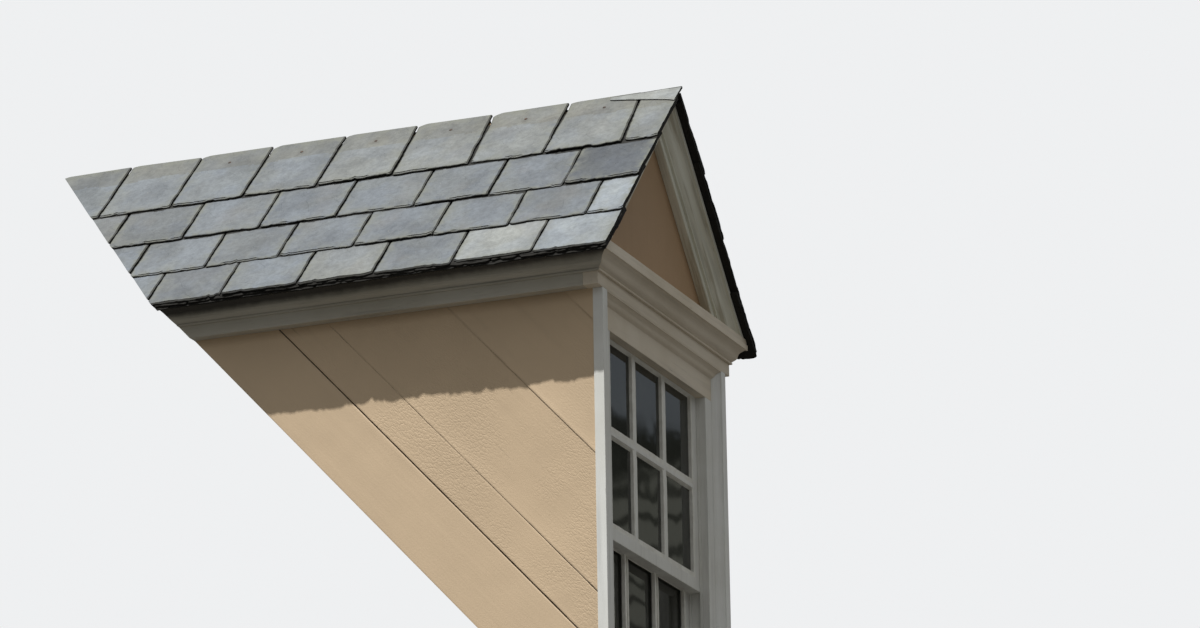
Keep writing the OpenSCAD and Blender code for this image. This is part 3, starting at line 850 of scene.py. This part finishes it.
def putty_section(place, sides, wave):
    """Four points (x, z, depth) of the putty's section at a place on one or two sides of a pane."""
    outer = place + sum(-PUTTY_UNDER_BAR * INWARDS[i] for i in sides)
    on_glass = place + sum((max(PUTTY_EDGE[i][0], 0) + 0.8 + wave) * INWARDS[i] for i in sides)
    inner = place + sum((PUTTY_EDGE[i][0] + wave) * INWARDS[i] for i in sides)
    depth = np.mean([PUTTY_EDGE[i][1] for i in sides]) - 0.5 * wave
    return [(*outer, PUTTY_FRONT), (*outer, PUTTY_BACK), (*on_glass, PUTTY_BACK), (*inner, depth)]


def putty(name, glass, sash):
    """Hand-run putty round every pane: flush with the bars below and beside it, bevelled above."""
    bag = Bag()
    low = lowest(glass) + GLASS_HIDDEN
    face_y = lowest(sash)[1]
    for column in range(3):
        for row in range(2):
            x, z = low[0] + column * PANE_STEP[0], low[2] + row * PANE_STEP[1]
            wide, tall = PANE
            corners = np.array([(x, z), (x + wide, z), (x + wide, z + tall), (x, z + tall)])
            points = []
            for k in range(4):
                for t in np.linspace(0, 1, PUTTY_SECTIONS, endpoint=False):
                    place = corners[k] + (corners[(k + 1) % 4] - corners[k]) * t
                    sides = [k, k - 1] if t == 0 else [k]
                    spot = Vector((place[0] / 30, place[1] / 30, column + 3 * row + face_y))
                    section = putty_section(place, sides, 0.5 * noise.noise(spot))
                    points += [(x, face_y + depth, z) for x, z, depth in section]
            count = len(points) // 4
            faces = [(4 * i + j, 4 * i + (j + 1) % 4, 4 * ((i + 1) % count) + (j + 1) % 4,
                      4 * ((i + 1) % count) + j) for i in range(count) for j in range(4)]
            bag.add(points, faces)
    bag.piece(name, PUTTY, "white_paint")


# Trim

# Grain and darkening of each piece of trim: the pieces under the eaves are darker
TRIM = {
    "window_sill": ("x", 0.1), "left_jamb": ("z", 0.1), "right_jamb": ("z", 0.1),
    "head_jamb": ("x", 0.1), "parting_bead": ("z", 0.1), "inner_stop": ("z", 0.1),
    "left_casing": ("z", 0.1), "right_casing": ("z", 0.1), "head_casing": ("x", 0.1),
    "left_backband": ("z", 0.0), "right_backband": ("z", 0.0), "upper_sash": ("z", 0.1),
    "lower_sash": ("z", 0.1), "front_frieze": ("x", 0.1), "left_frieze": ("y", 0.7),
    "right_frieze": ("y", 0.7), "front_crown": ("x", 0.1), "left_crown": ("y", 0.7),
    "right_crown": ("y", 0.7), "cornice_wash": ("x", 0.1),
    "left_raking_fascia": ("left_rake", 0.1), "right_raking_fascia": ("right_rake", 0.1),
    "left_raking_crown": ("left_rake", 0.1), "right_raking_crown": ("right_rake", 0.1),
}

# Rounding of the trim's edges and of those of the mouldings, and the least turn that is an edge
EDGE_ROUND = 1.2
MOULDING_ROUND = 2.2
SHARP = math.radians(32)

# Grain of each timber that the scene leaves as the CAD has it
BARE = {
    "front_sole": "x", "left_side_sole": "cheek", "right_side_sole": "cheek",
    "left_corner_post": "z", "right_corner_post": "z", "window_header": "x",
    "left_cheek_studs": "z", "right_cheek_studs": "z", "left_top_plate": "y",
    "right_top_plate": "y", "ridge_board": "y", "left_rafters": "left_rake",
    "right_rafters": "right_rake", "gable_stud": "z",
}


def soften(node, material, width):
    """A copy of a CAD piece with rounded edges, which stands for it."""
    bm = bmesh.new()
    bm.from_mesh(bpy.data.objects[node].data)
    bmesh.ops.remove_doubles(bm, verts=bm.verts, dist=1e-6)
    bmesh.ops.dissolve_limit(bm, angle_limit=0.01, verts=bm.verts, edges=bm.edges)
    sharp = [e for e in bm.edges if e.is_manifold and e.calc_face_angle(0) > SHARP]
    bmesh.ops.bevel(bm, geom=sharp, offset=width / 1000, segments=2, profile=0.5,
                    affect="EDGES", clamp_overlap=True)
    mesh = bpy.data.meshes.new(node + "_worn")
    bm.to_mesh(mesh)
    bm.free()
    mesh.materials.append(material)
    for polygon in mesh.polygons:
        polygon.material_index = 0
    show(node + "_worn", mesh, [node])


def trim():
    """Every white-painted piece, each with its grain and darkening."""
    white = {look: white_paint(*look) for look in sorted(set(TRIM.values()))}
    for node, look in TRIM.items():
        moulding = "crown" in node or "fascia" in node
        soften(node, white[look], MOULDING_ROUND if moulding else EDGE_ROUND)


def finish_cad_pieces():
    """Materials of the CAD pieces that the scene shows as they are."""
    finishes = {node: TIMBER[grain] for node, grain in BARE.items()}
    finishes["tympanum"] = BEIGE_FLAT
    finishes["upper_glass"] = GLASS
    finishes["lower_glass"] = GLASS
    for node, material in finishes.items():
        bpy.data.objects[node].material_slots[0].material = material


# Floor, light and camera

scene = bpy.context.scene
scene.view_settings.view_transform = "Standard"

# Height and reach of the floor, in metres
FLOOR_Z = -4.2
FLOOR_REACH = 40

# Levels of the soft light: from overhead, from behind on the right, and from all round
OVERHEAD = 0.74
BEHIND = 0.5
ALL_ROUND = 0.075


def make_floor():
    """A plain pale floor, which sends up as little light as a real roof below would."""
    corners = [(-1, -1), (1, -1), (1, 1), (-1, 1)]
    mesh = bpy.data.meshes.new("floor")
    mesh.from_pydata([(FLOOR_REACH * x, FLOOR_REACH * y, FLOOR_Z) for x, y in corners],
                     [], [(0, 1, 2, 3)])
    floor = bpy.data.objects.new("floor", mesh)
    scene.collection.objects.link(floor)
    look = Look("pale_floor", Roughness=0.9)
    seen = look.node("ShaderNodeLightPath").outputs["Is Camera Ray"]
    look.wire(look.shader, {
        "Base_Color": look.mix(seen, (0.06, 0.057, 0.052), (0.40, 0.40, 0.395))})
    mesh.materials.append(look.material)


def soft_light(sky, x, y, z):
    """Light from overhead, with some more from behind and to the right."""
    above = sky.calc("MULTIPLY", sky.calc("MAXIMUM", z, 0.0), OVERHEAD)
    behind = sky.calc("ADD", sky.calc("MULTIPLY", x, 0.45), sky.calc("MULTIPLY", y, 0.45))
    behind = sky.calc("MULTIPLY", sky.calc("MAXIMUM", behind, 0.0), BEHIND)
    level = sky.calc("ADD", sky.calc("ADD", above, ALL_ROUND), behind)
    return sky.node("ShaderNodeVectorMath", {0: (0.99, 0.995, 0.975), "Scale": level},
                    operation="SCALE").outputs[0]


def mirrored_view(sky, z):
    """What the panes mirror: a roof's pale courses, a dark skyline and the sky above it."""
    ragged = sky.calc("ADD", z, sky.calc("MULTIPLY", sky.cloud(120, 5, 0.7), 0.022))
    waves = sky.node("ShaderNodeTexWave", {
        "Vector": sky.place, "Scale": 62.0, "Distortion": 3.0, "Detail": 2.0}, bands_direction="Z")
    courses = sky.spread(waves.outputs["Fac"], 0.05, 0.4)
    view = sky.mix(courses, (0.07, 0.072, 0.06), (0.29, 0.295, 0.25))
    view = sky.mix(sky.spread(ragged, 0.270, 0.274), view, (0.03, 0.032, 0.026))
    return sky.mix(sky.spread(ragged, 0.279, 0.284), view, (0.30, 0.335, 0.37))


def make_world():
    """Soft light, the view that the panes mirror, and a pale background."""
    world = bpy.data.worlds.new("sky")
    scene.world = world
    world.use_nodes = True
    sky = Nodes(world.node_tree, "Generated")
    ray = sky.node("ShaderNodeLightPath").outputs
    x, y, z = sky.node("ShaderNodeSeparateXYZ", {0: sky.place}).outputs
    lit = sky.mix(ray["Is Glossy Ray"], soft_light(sky, x, y, z), mirrored_view(sky, z))
    shown = sky.mix(ray["Is Camera Ray"], lit, (0.86, 0.87, 0.88))
    sky.wire(world.node_tree.nodes["Background"], {"Color": shown, "Strength": 1.0})


def make_sun():
    """Sunlight, which sets the eave's shadow on the left cheek where the photo has it."""
    lamp = bpy.data.lights.new("sun", "SUN")
    lamp.energy = 5.0
    lamp.angle = 0.012
    lamp.color = (1.0, 0.985, 0.95)
    sun = bpy.data.objects.new("sun", lamp)
    sun.rotation_mode = "QUATERNION"
    sun.rotation_quaternion = Vector((0.338, -0.12, -0.92)).to_track_quat("-Z", "Y")
    scene.collection.objects.link(sun)


def make_camera():
    """The camera, fitted to the photo: its place in metres and the ways of the picture's axes."""
    place = (-12.905347, -5.070859, -2.858757)
    right = Vector((0.3762236, -0.92639341, -0.01584435))
    down = Vector((0.2627392, 0.12307029, -0.9569858))
    forward = Vector((0.88849531, 0.35587771, 0.28970181))
    lens = bpy.data.cameras.new("camera")
    lens.lens = 164.555
    lens.sensor_width = 36
    lens.sensor_fit = "HORIZONTAL"
    lens.clip_end = 200
    camera = bpy.data.objects.new("camera", lens)
    turn = Matrix((right, -down, -forward)).transposed().to_4x4()
    camera.matrix_world = Matrix.Translation(place) @ turn
    scene.collection.objects.link(camera)
    scene.camera = camera


for side in SIDE:
    slates(side)
    nails(side)
    cheek(side)
    deck(side)
putty("upper_putty", "upper_glass", "upper_sash")
putty("lower_putty", "lower_glass", "lower_sash")
trim()
finish_cad_pieces()
make_floor()
make_world()
make_sun()
make_camera()
